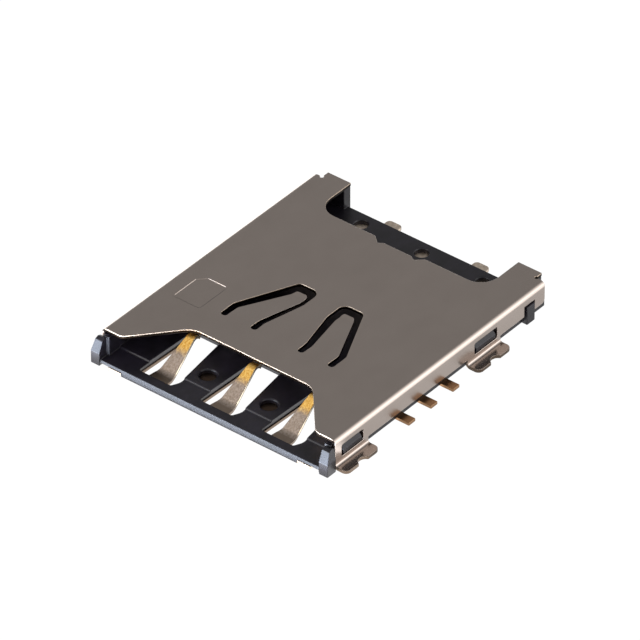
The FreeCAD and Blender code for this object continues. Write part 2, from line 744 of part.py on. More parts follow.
def contacts():
    """Build the two rows of three contacts."""
    leads = {
        "front_contact_left": (d.slim_rail_left, d.tail_front, -1),
        "front_contact_middle": (d.rail_left, d.tail_middle, 1),
        "front_contact_right": (d.rail_left, d.tail_front, 1),
    }
    pieces = []
    for column, step in CONTACT_COLUMNS.items():
        centre = d.contact_pitch * step
        front = f"front_contact_{column}"
        pieces.append(contact(front, centre, as_size(0), front_lead(centre, *leads[front])))
        rear_lead = rear_side_lead(centre, step) if step else rear_middle_lead()
        pieces.append(contact(f"rear_contact_{column}", centre, d.row_pitch, rear_lead))
    return pieces


def front_anchors():
    """Build the two flat tabs that hold the housing's front corners to the board."""
    pieces = []
    for side, way in SIDES.items():
        body = new_body(f"front_anchor_{side}")
        tab = rectangle(d.tab_inner, d.tab_outer, as_size(0), d.tab_rear)
        outline = tab if way > 0 else mirrored(tab)
        flat = (as_size(0), d.lead_thickness)
        extrude(body, "Pad", f"tab_{side}", "XY_Plane", flat, [outline])
        body.Label = f"front_anchor_{side}"
        pieces.append(body)
    return pieces


def rear_anchor():
    """Build the strap under the rear edge with its two solder tails."""
    body = new_body("rear_anchor")
    inner = d.peg_centre - d.peg_width / 2
    outer = d.peg_centre + d.peg_width / 2
    right = [
        (d.strap_half_width, d.strap_front),
        (d.strap_half_width, d.strap_rear),
        (outer, d.strap_rear),
        (outer, d.overall_depth, d.peg_corner),
        (inner, d.overall_depth, d.peg_corner),
        (inner, d.strap_rear),
    ]
    flat = (as_size(0), d.lead_thickness)
    extrude(body, "Pad", "strap", "XY_Plane", flat, [right + mirrored(right)])
    body.Label = "rear_anchor"
    return body


def floor_section():
    """Return the floor from the side: leaning lip, entry ramp, step and flat floor."""
    return [
        (as_size(0), as_size(0)),
        (d.floor_rear, as_size(0)),
        (d.floor_rear, d.floor_height),
        (d.ramp_rear + d.ramp_step, d.floor_height),
        (d.ramp_rear, d.ramp_height),
        (d.lip_lean, d.lip_height),
        (as_size(0), d.lip_foot),
    ]


def post_section():
    """Return a front post from the side, leaning back above its shoulder to a round crown."""
    return [
        (as_size(0), as_size(0)),
        (d.post_rear, as_size(0)),
        (d.post_rear, d.post_height),
        (d.post_crown, d.post_top, d.post_radius),
        (d.post_lean, d.post_height, d.post_radius),
        (as_size(0), d.post_shoulder, d.post_shoulder_radius),
    ]


def window_outline(centre, row, rear):
    """Return the opening in the floor under and round one contact beam."""
    return [
        (centre - d.gap_left_front, row + d.gap_front, d.gap_radius),
        (centre + d.gap_right_front, row + d.gap_front, d.gap_radius),
        (centre + d.gap_right_knee, row + d.gap_knee, d.gap_knee_radius),
        (centre + d.gap_right_rear, rear, d.gap_radius),
        (centre - d.gap_left_rear, rear, d.gap_radius),
    ]


def catch_section():
    """Return a right catch from the front: flat below, ramped above."""
    return [
        (d.slot_half_width, d.catch_low),
        (d.cover_half_width, d.catch_low),
        (d.cover_half_width, d.catch_flat),
        (d.body_half_width, d.catch_high),
        (d.slot_half_width, d.catch_high),
    ]


def add_floor(body):
    """Build the floor and chamfer its lower long edges."""
    across = (-d.body_half_width, d.body_half_width)
    floor = extrude(body, "Pad", "floor", "YZ_Plane", across, [floor_section()])
    long_edges = [
        (place_values(side, 0, 0), place_values(side, d.floor_rear, 0))
        for side in (d.body_half_width, -d.body_half_width)
    ]
    dress(body, "Chamfer", "floor_edges", floor, "Size", d.floor_chamfer, long_edges)


def add_walls(body):
    """Build the side walls, which end below the bends of the cover."""
    wall = rectangle(d.slot_half_width, d.body_half_width, d.wall_start, d.wall_rear)
    height = (d.lip_height / 2, d.cover_height - d.cover_bend)
    extrude(body, "Pad", "side_walls", "XY_Plane", height, [wall, mirrored(wall)])


def add_posts(body):
    """Build the two front posts and cut their outer faces to lean inwards."""
    for side, way in SIDES.items():
        inner = d.post_inner * way
        outer = d.post_outer * way
        span = (inner, outer) if way > 0 else (outer, inner)
        extrude(body, "Pad", f"{side}_post", "YZ_Plane", span, [post_section()])
    lean = [
        (d.post_outer, d.post_shoulder),
        (d.post_outer + d.reach_past, d.post_shoulder),
        (d.post_outer + d.reach_past, d.post_top),
        (d.post_outer - d.post_lean_in, d.post_top),
    ]
    span = (-d.reach_past, d.post_rear)
    extrude(body, "Pocket", "post_lean_cut", "XZ_Plane", span, [lean, mirrored(lean)])


def add_catches(body):
    """Build the ramped catches that snap into the cover's side windows."""
    for name, start, length in (
        ("front_catches", d.window_front, d.window_length),
        ("rear_catches", d.window_rear_front, d.window_rear_length),
    ):
        span = (start + d.catch_gap, start + length - d.catch_gap)
        extrude(body, "Pad", name, "XZ_Plane", span, [catch_section(), mirrored(catch_section())])


def add_bosses(body):
    """Build the bosses that fill the notches near the rear of the side walls."""
    boss = rectangle(d.slot_half_width, d.boss_reach, d.notch_front + d.boss_gap, d.notch_rear - d.boss_gap)
    height = (as_size(0), d.boss_height)
    extrude(body, "Pad", "rear_bosses", "XY_Plane", height, [boss, mirrored(boss)])


def add_stops(body):
    """Build the two card stops under the ears, with a niche in their rear faces."""
    ceiling = d.cover_height - d.sheet_thickness
    stop = rectangle(d.stop_inner, d.ear_outer, d.stop_front, d.stop_rear)
    height = (d.lip_height / 2, ceiling)
    extrude(body, "Pad", "card_stops", "XY_Plane", height, [stop, mirrored(stop)])
    niche = rectangle(
        d.stop_inner + d.stop_niche_wall,
        d.ear_outer - d.stop_niche_wall,
        d.stop_rear - d.stop_niche_depth,
        d.stop_rear + d.reach_past,
    )
    niche_height = (d.floor_height, ceiling - d.stop_niche_wall)
    extrude(body, "Pocket", "stop_niches", "XY_Plane", niche_height, [niche, mirrored(niche)])


def cut_lip_pockets(body):
    """Cut the pockets in the lip's underside, which show the front anchors."""
    pocket = rectangle(d.tab_inner, d.pocket_outer, -d.reach_past, d.pocket_rear)
    height = (-d.reach_past, d.lead_thickness)
    extrude(body, "Pocket", "lip_pockets", "XY_Plane", height, [pocket, mirrored(pocket)])


def cut_contact_windows(body):
    """Cut an opening through the floor round each contact beam."""
    rows = ((as_size(0), d.gap_rear), (d.row_pitch, d.gap_back_row_rear))
    windows = [
        window_outline(d.contact_pitch * step, row, rear)
        for step in CONTACT_COLUMNS.values()
        for row, rear in rows
    ]
    through_floor = (-d.reach_past, d.cover_height)
    extrude(body, "Pocket", "contact_windows", "XY_Plane", through_floor, windows)


def cut_clamping_holes(body):
    """Cut the round holes where the mould clamps the metal, and chamfer their rims."""
    gates = [(d.gate_offset * way, d.gate_depth, d.gate_radius) for way in SIDES.values()]
    gates += [
        (d.contact_pitch * step, d.rear_gate_depth, d.rear_gate_radius)
        for step in CONTACT_COLUMNS.values()
    ]
    through_floor = (-d.reach_past, d.cover_height)
    holes = extrude(body, "Pocket", "clamping_holes", "XY_Plane", through_floor, circles=gates)
    rims = [
        (
            place_values(x - radius, y - radius, d.floor_height),
            place_values(x + radius, y + radius, d.floor_height),
        )
        for x, y, radius in gates
    ]
    dress(body, "Chamfer", "hole_rims", holes, "Size", d.gate_chamfer, rims)


def housing(metal):
    """Build the moulded housing round the metal pieces that are set into it."""
    body = new_body("moulded_body")
    add_floor(body)
    add_walls(body)
    add_posts(body)
    add_catches(body)
    add_bosses(body)
    add_stops(body)
    cut_lip_pockets(body)
    cut_contact_windows(body)
    cut_clamping_holes(body)
    all_metal = doc.addObject("Part::MultiFuse", "set_in_metal")
    all_metal.Shapes = metal
    moulding = doc.addObject("Part::Cut", "housing")
    moulding.Base = body
    moulding.Tool = all_metal
    moulding.Refine = True
    moulding.Label = "housing"
    return moulding


def check(document, pieces):
    """Stop unless every object was computed, every cut cut something and every piece is sound."""
    for item in document.Objects:
        if "Invalid" in item.State or "Error" in item.State:
            raise RuntimeError(f"{item.Name} could not be computed: {item.State}")
        if item.TypeId == "PartDesign::Pocket" and item.Shape.Volume >= item.BaseFeature.Shape.Volume:
            raise RuntimeError(f"{item.Name} removes nothing")
    for piece in pieces:
        shape = piece.Shape
        if shape.isNull() or not shape.isValid():
            raise RuntimeError(f"{piece.Label} is not a sound solid")
        print(f"{piece.Label}: {len(shape.Solids)} solid, {shape.Volume:.4f} cubic millimetres")


def build():
    """Build every piece, check it and write it to its own file."""
    cover = shell()
    metal = contacts() + front_anchors() + [rear_anchor()]
    pieces = [housing(metal + [cover]), cover] + metal
    doc.recompute()
    check(doc, pieces)
    os.makedirs("parts", exist_ok=True)
    for piece in pieces:
        piece.Shape.exportStep(f"parts/{piece.Label}.step")


build()
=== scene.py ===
"""Looks of a nano SIM card socket: soft edges, sprung contacts, finishes, camera and studio."""

import logging
import math
from dataclasses import dataclass
from enum import Enum

import bmesh
import bpy
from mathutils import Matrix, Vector
from mathutils.bvhtree import BVHTree
from mathutils.geometry import barycentric_transform


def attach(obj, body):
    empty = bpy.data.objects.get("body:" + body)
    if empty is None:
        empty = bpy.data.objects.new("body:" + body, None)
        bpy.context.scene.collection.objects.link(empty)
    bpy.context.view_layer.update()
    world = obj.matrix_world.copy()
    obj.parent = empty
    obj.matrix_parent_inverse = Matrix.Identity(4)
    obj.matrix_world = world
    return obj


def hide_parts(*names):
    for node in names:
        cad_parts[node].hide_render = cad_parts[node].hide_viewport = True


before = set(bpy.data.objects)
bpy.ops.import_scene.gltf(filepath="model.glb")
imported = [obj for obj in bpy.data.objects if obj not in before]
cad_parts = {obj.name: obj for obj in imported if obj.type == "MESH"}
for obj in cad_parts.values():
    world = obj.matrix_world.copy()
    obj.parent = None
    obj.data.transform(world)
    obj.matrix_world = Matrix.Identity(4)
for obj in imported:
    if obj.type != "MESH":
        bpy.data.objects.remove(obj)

MM = 0.001
LOG = logging.getLogger("socket")

# Points closer than this are one point. A lead meets its beam within the wider distance.
WELD = 1e-5 * MM
LEAD_WELD = 20 * WELD
# A point this close to the CAD surface lies on it.
TOUCH = 1e-3 * MM
# A normal blended on a triangle that a point doesn't belong to departs this much from length 1.
NORMAL_ERROR = 0.1

# Faces that turn less than this against each other are flat, and more than this are a crease.
FLAT = math.radians(0.3)
CREASE = math.radians(5)
# The beams' folds turn less than this from face to face, and their cut edges more.
FOLD_STEP = math.radians(40)
# Faces that turn less than this share one smooth shading.
SAME_BEND = math.radians(50)
ROUNDING_SEGMENTS = 2

# How far a ray starts inside a sheet, and where it counts as running on through the sheet, as
# shares of the thickness.
RAY_START = 0.02
RAY_RUNS_ON = 1.4
# A face whose normal rises less than this stands upright.
UPRIGHT = 0.7

# Nearly all values of a noise lie between the first two, and all of a share between the others.
NOISE_SPAN = (0.3, 0.7)
WHOLE = (0.0, 1.0)

# The leads run out of the housing here, to both sides, and end as solder tails.
TAIL_START = 4.6 * MM

Pair = tuple[float, float]
Triple = tuple[float, float, float]
Colour = tuple[float, float, float, float]
Socket = bpy.types.NodeSocket
Tree = bpy.types.NodeTree
Material = bpy.types.Material
Object = bpy.types.Object
Mesh = bpy.types.Mesh
Node = bpy.types.Node
Skin = bmesh.types.BMesh


def linear(code: str) -> Colour:
    """Turn an sRGB hex value into a linear colour.

    Args:
        code: Six hex digits, such as "a89c95".

    Returns:
        Linear red, green and blue, and a full alpha.
    """
    shares = [int(code[start:start + 2], 16) / 255 for start in (0, 2, 4)]
    red, green, blue = [
        share / 12.92 if share <= 0.04045 else ((share + 0.055) / 1.055) ** 2.4 for share in shares
    ]
    return red, green, blue, 1.0


WHITE = linear("ffffff")


def add_node(tree: Tree, kind: str, feeds: dict | None = None, **settings) -> Node:
    """Add a node with its settings and links.

    Args:
        tree: Tree that gets the node.
        kind: Blender's name of the node type.
        feeds: Value or source socket for each input, by the input's name or number.
        settings: Properties of the node.

    Returns:
        The new node.
    """
    node = tree.nodes.new(kind)
    for name, value in settings.items():
        setattr(node, name, value)
    for key, value in (feeds or {}).items():
        if isinstance(value, Socket):
            tree.links.new(value, node.inputs[key])
        else:
            node.inputs[key].default_value = value
    return node


def maths(tree: Tree, operation: str, *values: float | Socket) -> Socket:
    """Add a calculation.

    Args:
        tree: Tree that gets the node.
        operation: Blender's name of the calculation, such as "ADD".
        values: Numbers or sockets that go in.

    Returns:
        The result.
    """
    return add_node(tree, "ShaderNodeMath", dict(enumerate(values)), operation=operation).outputs[0]


def spread(tree: Tree, value: Socket, ends: tuple, span: tuple = NOISE_SPAN) -> Socket:
    """Stretch a value from its span over a new range.

    Args:
        tree: Tree that gets the node.
        value: Value to stretch.
        ends: Both ends of the new range, as numbers or sockets.
        span: Both ends of the value's span. A value beyond them gives the nearer end.

    Returns:
        The stretched value.
    """
    feeds = {"Value": value, "From Min": span[0], "From Max": span[1]}
    feeds |= {"To Min": ends[0], "To Max": ends[1]}
    return add_node(tree, "ShaderNodeMapRange", feeds).outputs["Result"]


def blended(tree: Tree, share: Socket, first: str | Socket, second: str | Socket) -> Socket:
    """Mix two colours.

    Args:
        tree: Tree that gets the node.
        share: Share of the second colour.
        first: The first colour, as a hex value or a socket.
        second: The second colour.

    Returns:
        The mixed colour.
    """
    ends = [linear(end) if isinstance(end, str) else end for end in (first, second)]
    feeds = {0: share, 6: ends[0], 7: ends[1]}
    return add_node(tree, "ShaderNodeMix", feeds, data_type="RGBA").outputs[2]


def place_parts(tree: Tree, output: str = "Object") -> bpy.types.bpy_prop_collection:
    """Return the outputs X, Y and Z of one of the coordinate node's outputs."""
    place = add_node(tree, "ShaderNodeTexCoord").outputs[output]
    return add_node(tree, "ShaderNodeSeparateXYZ", {0: place}).outputs


def attribute(tree: Tree, name: str) -> Socket:
    """Return the value that the mesh stores under a name."""
    return add_node(tree, "ShaderNodeAttribute", attribute_name=name).outputs["Fac"]


def on_tail(tree: Tree) -> Socket:
    """Return 1 where a lead has run out of the housing."""
    return maths(tree, "GREATER_THAN", maths(tree, "ABSOLUTE", place_parts(tree)["X"]), TAIL_START)


def grain(tree: Tree, size: Triple, detail: float) -> Socket:
    """Add a noise whose spots have a real size.

    Args:
        tree: Tree of the material.
        size: Length of a spot along each axis of the piece, in metres.
        detail: Octaves of finer noise on it.

    Returns:
        The noise's value, from 0 to 1.
    """
    place = add_node(tree, "ShaderNodeTexCoord").outputs["Object"]
    scale = tuple(1 / length for length in size)
    turned = add_node(tree, "ShaderNodeMapping", {"Vector": place, "Scale": scale})
    feeds = {"Vector": turned.outputs["Vector"], "Scale": 1.0, "Detail": detail, "Roughness": 0.6}
    return add_node(tree, "ShaderNodeTexNoise", feeds).outputs["Fac"]


def fine_relief(tree: Tree, height: Socket, strength: float, depth: float) -> Socket:
    """Add fine relief.

    Args:
        tree: Tree of the material.
        height: Height of the relief, from 0 to 1.
        strength: Share of the relief that shows.
        depth: Depth of the relief in metres.

    Returns:
        The normal that the relief gives.
    """
    feeds = {"Height": height, "Strength": strength, "Distance": depth}
    return add_node(tree, "ShaderNodeBump", feeds).outputs["Normal"]


def blank_material(name: str) -> tuple[Material, Tree]:
    """Return a new material with an empty node tree."""
    material = bpy.data.materials.new(name)
    material.use_nodes = True
    material.node_tree.nodes.clear()
    return material, material.node_tree


def shade(tree: Tree, feeds: dict) -> None:
    """Add the surface shader and the output of a material.

    Args:
        tree: Tree of the material.
        feeds: Value or source socket for each input of the shader.
    """
    shader = add_node(tree, "ShaderNodeBsdfPrincipled", feeds)
    add_node(tree, "ShaderNodeOutputMaterial", {"Surface": shader.outputs["BSDF"]})


@dataclass(frozen=True)
class RolledSteel:
    """Cold rolled stainless strip: satin, warm grey metal with a faint grain along the rolling."""

    name: str = "cold_rolled_stainless_strip"
    pale: str = "b5a9a1"
    dark: str = "b1a59d"
    roughness: Pair = (0.20, 0.24)
    # The rolled grain is about 0.01 mm wide. It is drawn four times as coarse so that it shows.
    streak: Triple = (0.04 * MM, 0.5 * MM, 0.04 * MM)
    cloud: Triple = (0.9 * MM, 1.4 * MM, 0.9 * MM)
    strength: float = 0.6
    relief: float = 0.0003 * MM

    def material(self) -> Material:
        """Return the material for the sheet's faces."""
        material, tree = blank_material(self.name)
        streaks = grain(tree, self.streak, 2.0)
        clouds = grain(tree, self.cloud, 2.0)
        feeds = {
            "Base Color": blended(tree, spread(tree, clouds, WHOLE), self.pale, self.dark),
            "Metallic": 1.0,
            "Roughness": spread(tree, streaks, self.roughness),
            "Normal": fine_relief(tree, streaks, self.strength, self.relief),
        }
        shade(tree, feeds)
        return material


@dataclass(frozen=True)
class ShearedEdge:
    """Stamped cut edge: a bright burnished band where the punch went in, and below it a torn zone
    whose near black is partly painted shade. The feet's low edges carry painted shade too.
    """

    name: str = "sheared_stainless_edge"
    burnished: str = "b8a592"
    # Torn zone: partly its own duller colour, partly painted shade.
    torn_and_shaded: str = "18110c"
    plain: str = "8c7d72"
    # Painted shade: the feet's cut edges next to the table are drawn darker.
    painted_foot_shade: str = "64564a"
    roughness: float = 0.42
    foot_top: float = 0.16 * MM
    # Heights on the top sheet, which is cut from above: the torn zone ends and the band starts.
    sheet_bottom: float = 1.02 * MM
    band: Pair = (1.125 * MM, 1.15 * MM)
    ragged: Pair = (-0.01 * MM, 0.01 * MM)
    # Shear marks run through the sheet and are about 0.02 mm apart, drawn twice as coarse.
    streak: Triple = (0.04 * MM, 0.04 * MM, 0.3 * MM)

    def material(self) -> Material:
        """Return the material for the cut edges."""
        material, tree = blank_material(self.name)
        streaks = grain(tree, self.streak, 1.0)
        height = maths(tree, "ADD", place_parts(tree)["Z"], spread(tree, streaks, self.ragged))
        band = spread(tree, height, WHOLE, self.band)
        # Painted shade: the torn zone below the band is drawn near black.
        sheet = blended(tree, band, self.torn_and_shaded, self.burnished)
        out_of_painted_shade = maths(tree, "GREATER_THAN", height, self.foot_top)
        # Painted shade on the feet's low edges.
        low = blended(tree, out_of_painted_shade, self.painted_foot_shade, self.plain)
        on_top = maths(tree, "GREATER_THAN", height, self.sheet_bottom)
        colour = blended(tree, on_top, low, sheet)
        shade(tree, {"Base Color": colour, "Metallic": 1.0, "Roughness": self.roughness})
        return material


@dataclass(frozen=True)
class MouldedPolymer:
    """Moulded liquid crystal polymer: near black and matt, with faint violet flow marks."""

    name: str = "moulded_liquid_crystal_polymer"
    pale: str = "24202a"
    dark: str = "131116"
    roughness: Pair = (0.32, 0.44)
    refraction: float = 1.45
    # The spark-eroded mould leaves pits of about 0.02 mm, drawn twice as coarse so that they show.
    pit: Triple = (0.045 * MM, 0.045 * MM, 0.045 * MM)
    flow: Triple = (0.5 * MM, 0.9 * MM, 0.5 * MM)
    strength: float = 0.7
    relief: float = 0.0014 * MM

    def material(self) -> Material:
        """Return the material for the housing."""
        material, tree = blank_material(self.name)
        pits = grain(tree, self.pit, 3.0)
        flow = grain(tree, self.flow, 4.0)
        feeds = {
            "Base Color": blended(tree, spread(tree, flow, WHOLE), self.dark, self.pale),
            "Roughness": spread(tree, pits, self.roughness),
            "IOR": self.refraction,
            "Normal": fine_relief(tree, pits, self.strength, self.relief),
        }
        shade(tree, feeds)
        return material


@dataclass(frozen=True)
class PlatedStrip:
    """Phosphor bronze plated with dull nickel, and with gold on the contact point."""

    name: str = "nickel_and_gold_plated_bronze"
    nickel: str = "b2a397"
    nickel_dark: str = "958578"
    gold: str = "f4cc78"
    gold_dark: str = "d89c3c"
    # Painted shade: the flat lead is drawn darker than the nickel.
    lead: str = "978779"
    # The solder tails' tops are drawn near black.
    tail_dark: str = "281b12"
    gold_start: float = 1.66 * MM
    gold_fade: float = 0.12 * MM
    # Painted shade: the beam starts as dark as the lead and brightens up to here.
    root_shade_fade: float = 0.9 * MM
    roughness: Pair = (0.28, 0.42)
    # Plating follows the strip's fine mottling, spots of about 0.03 mm, drawn twice as coarse.
    mottle: Triple = (0.06 * MM, 0.09 * MM, 0.06 * MM)
    mottle_span: Pair = (0.36, 0.62)
    strength: float = 0.8
    relief: float = 0.003 * MM

    def material(self) -> Material:
        """Return the material for the contacts' faces."""
        material, tree = blank_material(self.name)
        mottle = grain(tree, self.mottle, 3.0)
        depth = attribute(tree, SprungBeam.DEPTH)
        ragged = spread(tree, mottle, (-self.gold_fade / 2, self.gold_fade / 2))
        gold_edge = (self.gold_start - self.gold_fade, self.gold_start + self.gold_fade)
        plated = spread(tree, maths(tree, "ADD", depth, ragged), WHOLE, gold_edge)
        spots = spread(tree, mottle, WHOLE, self.mottle_span)
        nickel = blended(tree, spots, self.nickel_dark, self.nickel)
        gold = blended(tree, spots, self.gold_dark, self.gold)
        # Painted shade on the lead and the beam's root.
        out_of_painted_shade = spread(tree, depth, WHOLE, (0.0, self.root_shade_fade))
        nickel = blended(tree, out_of_painted_shade, self.lead, nickel)
        nickel = blended(tree, on_tail(tree), nickel, self.tail_dark)
        feeds = {
            "Base Color": blended(tree, plated, nickel, gold),
            "Metallic": 1.0,
            "Roughness": spread(tree, mottle, self.roughness),
            "Normal": fine_relief(tree, mottle, self.strength, self.relief),
        }
        shade(tree, feeds)
        return material


@dataclass(frozen=True)
class TinnedStrip:
    """Tin plated bronze strip: a soft pale brown grey with a cloudy, slightly rough surface."""

    name: str = "tin_plated_bronze"
    pale: str = "e2d4c4"
    dark: str = "c0b0a0"
    roughness: Pair = (0.46, 0.60)
    cloud: Triple = (0.12 * MM, 0.12 * MM, 0.12 * MM)
    strength: float = 0.6
    relief: float = 0.002 * MM

    def material(self) -> Material:
        """Return the material for the anchors."""
        material, tree = blank_material(self.name)
        clouds = grain(tree, self.cloud, 3.0)
        feeds = {
            "Base Color": blended(tree, spread(tree, clouds, WHOLE), self.dark, self.pale),
            "Metallic": 1.0,
            "Roughness": spread(tree, clouds, self.roughness),
            "Normal": fine_relief(tree, clouds, self.strength, self.relief),
        }
        shade(tree, feeds)
        return material


@dataclass(frozen=True)
class BareBronze:
    """Cut edge of plated bronze: pale on the beams with a torn zone darkened by painted shade,
    darkened by painted shade on the flat leads, copper at the tails.
    """

    name: str = "sheared_bronze_edge"
    pale: str = "fbeeda"
    dark: str = "e6d0b0"
    # Torn zone: partly its own duller colour, partly painted shade.
    torn_and_shaded: str = "4c3a2a"
    # Painted shade: the low cut edges of the flat leads.
    shaded_lead_edge: str = "5e5044"
    copper: str = "a07c5c"
    # Where the torn zone turns into the burnished one, as shares of the strip's thickness.
    torn_end: Pair = (0.34, 0.50)
    roughness: float = 0.34
    # The lead's edge, darkened by painted shade, ends at the first height, and the beam is fully
    # pale at the second.
    lead_top: Pair = (0.13 * MM, 0.195 * MM)
    streak: Triple = (0.04 * MM, 0.04 * MM, 0.2 * MM)

    def material(self) -> Material:
        """Return the material for the cut edges of contacts."""
        material, tree = blank_material(self.name)
        streaks = grain(tree, self.streak, 1.0)
        band = spread(tree, attribute(tree, SprungBeam.THROUGH), WHOLE, self.torn_end)
        beam = blended(tree, spread(tree, streaks, WHOLE), self.pale, self.dark)
        # Painted shade in the torn zone.
        beam = blended(tree, band, self.torn_and_shaded, beam)
        out_of_painted_shade = spread(tree, place_parts(tree)["Z"], WHOLE, self.lead_top)
        # Painted shade on the leads' low edges.
        colour = blended(tree, out_of_painted_shade, self.shaded_lead_edge, beam)
        colour = blended(tree, on_tail(tree), colour, self.copper)
        shade(tree, {"Base Color": colour, "Metallic": 1.0, "Roughness": self.roughness})
        return material


def creased_copy(source: Mesh) -> Skin:
    """Copy a CAD node's mesh as one closed skin that knows its creases.

    The node's triangles carry the true normals of the surfaces they came from. Where the normals
    on both sides of an edge differ, the edge is a crease and gets a bevel weight of 1.

    Args:
        source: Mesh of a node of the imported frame.

    Returns:
        The skin, with flat faces merged.
    """
    skin = bmesh.new()
    numbers: dict[tuple[int, ...], int] = {}
    verts: list[bmesh.types.BMVert] = []
    normals: list[dict[int, Vector]] = []
    for polygon in source.polygons:
        corner_normals = {}
        for loop in polygon.loop_indices:
            place = source.vertices[source.loops[loop].vertex_index].co
            key = tuple(round(value / WELD) for value in place)
            if key not in numbers:
                numbers[key] = len(verts)
                verts.append(skin.verts.new(place))
            corner_normals[numbers[key]] = source.corner_normals[loop].vector.copy()
        if len(corner_normals) == len(polygon.loop_indices):
            skin.faces.new([verts[number] for number in corner_normals])
            normals.append(corner_normals)
    skin.verts.index_update()
    skin.faces.index_update()
    weight = skin.edges.layers.float.new("bevel_weight_edge")
    for edge in skin.edges:
        if len(edge.link_faces) != 2:
            continue
        here, there = (normals[face.index] for face in edge.link_faces)
        turns = [here[vert.index].angle(there[vert.index], 0.0) for vert in edge.verts]
        edge[weight] = 1.0 if max(turns) > CREASE else 0.0
    bmesh.ops.dissolve_limit(skin, angle_limit=FLAT, verts=skin.verts, edges=skin.edges)
    return skin


def mark_cut_edges(skin: Skin, thickness: float, smallest: float) -> None:
    """Give the faces where a sheet was cut through the second material slot.

    A ray into a rolled face leaves after one sheet thickness. A ray into a cut edge runs on
    through the sheet.

    Args:
        skin: Closed skin of a stamped sheet.
        thickness: Thickness of the sheet.
        smallest: Upright faces lower than this are pressed steps, not cut edges.
    """
    tree = BVHTree.FromBMesh(skin)
    for face in skin.faces:
        inside = face.calc_center_median() - face.normal * thickness * RAY_START
        distance = tree.ray_cast(inside, -face.normal)[3]
        heights = [vert.co.z for vert in face.verts]
        through = distance is None or distance > thickness * RAY_RUNS_ON
        stands = abs(face.normal.z) < UPRIGHT
        if through and (not stands or max(heights) - min(heights) > smallest):
            face.material_index = 1


def plain(piece: Object) -> Object:
    """Swap a piece's mesh for its evaluated one and remove the modifiers."""
    graph = bpy.context.evaluated_depsgraph_get()
    mesh = bpy.data.meshes.new_from_object(
        piece.evaluated_get(graph), preserve_all_data_layers=True, depsgraph=graph
    )
    mesh.name = piece.name
    piece.modifiers.clear()
    piece.data = mesh
    return piece


def added(name: str, data: bpy.types.ID) -> Object:
    """Return a new object in the scene with the given mesh, light or camera."""
    thing = bpy.data.objects.new(name, data)
    bpy.context.scene.collection.objects.link(thing)
    return thing


def rounded_piece(name: str, skin: Skin, radius: float, materials: list[Material]) -> Object:
    """Round a skin's creases and return it as a plain, smooth shaded piece.

    Args:
        name: Name of the piece.
        skin: Closed skin whose creases have a bevel weight of 1. It is freed.
        radius: Radius of the rounding at the creases.
        materials: Materials of the piece, in the order of its slots.

    Returns:
        The piece, with its modifiers applied.
    """
    mesh = bpy.data.meshes.new(name)
    for face in skin.faces:
        face.smooth = True
    skin.to_mesh(mesh)
    skin.free()
    for material in materials:
        mesh.materials.append(material)
    piece = added(name, mesh)
    rounding = piece.modifiers.new("edge_break", "BEVEL")
    rounding.limit_method = "WEIGHT"
    rounding.width = radius
    rounding.segments = ROUNDING_SEGMENTS
    # Clamped, the shortest edge of the sheet would narrow every rounding to a thousandth of a mm.
    rounding.use_clamp_overlap = False
    rounding.loop_slide = False
    return plain(piece)


def keep_on_surface(piece: Object, source: Mesh, reach: float) -> None:
    """Pull back corners that a rounding pushed too far off the CAD surface or out of its box.

    Args:
        piece: Rounded piece.
        source: Mesh of the CAD node.
        reach: Largest distance from the surface that a rounding needs.
    """
    places = [vert.co for vert in source.vertices]
    tree = BVHTree.FromPolygons(places, [tuple(polygon.vertices) for polygon in source.polygons])
    low, high = [Vector(choose(axis) for axis in zip(*places)) for choose in (min, max)]
    for vert in piece.data.vertices:
        place, _, _, distance = tree.find_nearest(vert.co)
        if distance > reach:
            vert.co = place
        vert.co = [min(max(value, start), end) for value, start, end in zip(vert.co, low, high)]


def keep_cad_normals(piece: Object, source: Mesh) -> None:
    """Shade a piece with the true normals of the CAD node it was copied from.

    A corner that lies on the node's surface takes the normal of the surface there. A corner in
    the middle of a rounded crease lies off it and keeps the mean normal of its faces.

    Args:
        piece: Finished piece.
        source: Mesh of the CAD node.
    """
    mesh = piece.data
    places = [vert.co for vert in source.vertices]
    corners = [tuple(polygon.vertices) for polygon in source.polygons]
    true_normals = [
        [source.corner_normals[loop].vector for loop in polygon.loop_indices]
        for polygon in source.polygons
    ]
    tree = BVHTree.FromPolygons(places, corners)
    normals = [vert.vector.copy() for vert in mesh.corner_normals]
    for polygon in mesh.polygons:
        for loop in polygon.loop_indices:
            place = mesh.vertices[mesh.loops[loop].vertex_index].co
            near = tree.find_nearest_range(place, TOUCH)
            if not near:
                continue
            number = max(near, key=lambda found: found[1].dot(polygon.normal))[2]
            triangle = [places[corner] for corner in corners[number]]
            normal = barycentric_transform(place, *triangle, *true_normals[number])
            if abs(normal.length - 1) < NORMAL_ERROR:
                normals[loop] = normal.normalized()
    mesh.normals_split_custom_set(normals)


def weigh_normals(piece: Object) -> None:
    """Shade a piece by the mean normal of the faces that bend into each other, by area."""
    mesh = piece.data
    round_vert: dict[int, list[int]] = {}
    for polygon in mesh.polygons:
        for corner in polygon.vertices:
            round_vert.setdefault(corner, []).append(polygon.index)
    normals = []
    for polygon in mesh.polygons:
        for corner in polygon.vertices:
            total = Vector()
            for number in round_vert[corner]:
                other = mesh.polygons[number]
                if other.normal.angle(polygon.normal, 0.0) < SAME_BEND:
                    total += other.normal * other.area
            normals.append(total.normalized())
    mesh.normals_split_custom_set(normals)


def seat(piece: Object, node: str) -> Object:
    """Let a piece stand for a CAD node.

    Args:
        piece: Finished piece.
        node: CAD node that it replaces.

    Returns:
        The same piece.
    """
    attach(piece, "root")
    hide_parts(node)
    LOG.info("%s: %d faces, replaces %s", piece.name, len(piece.data.polygons), node)
    return piece


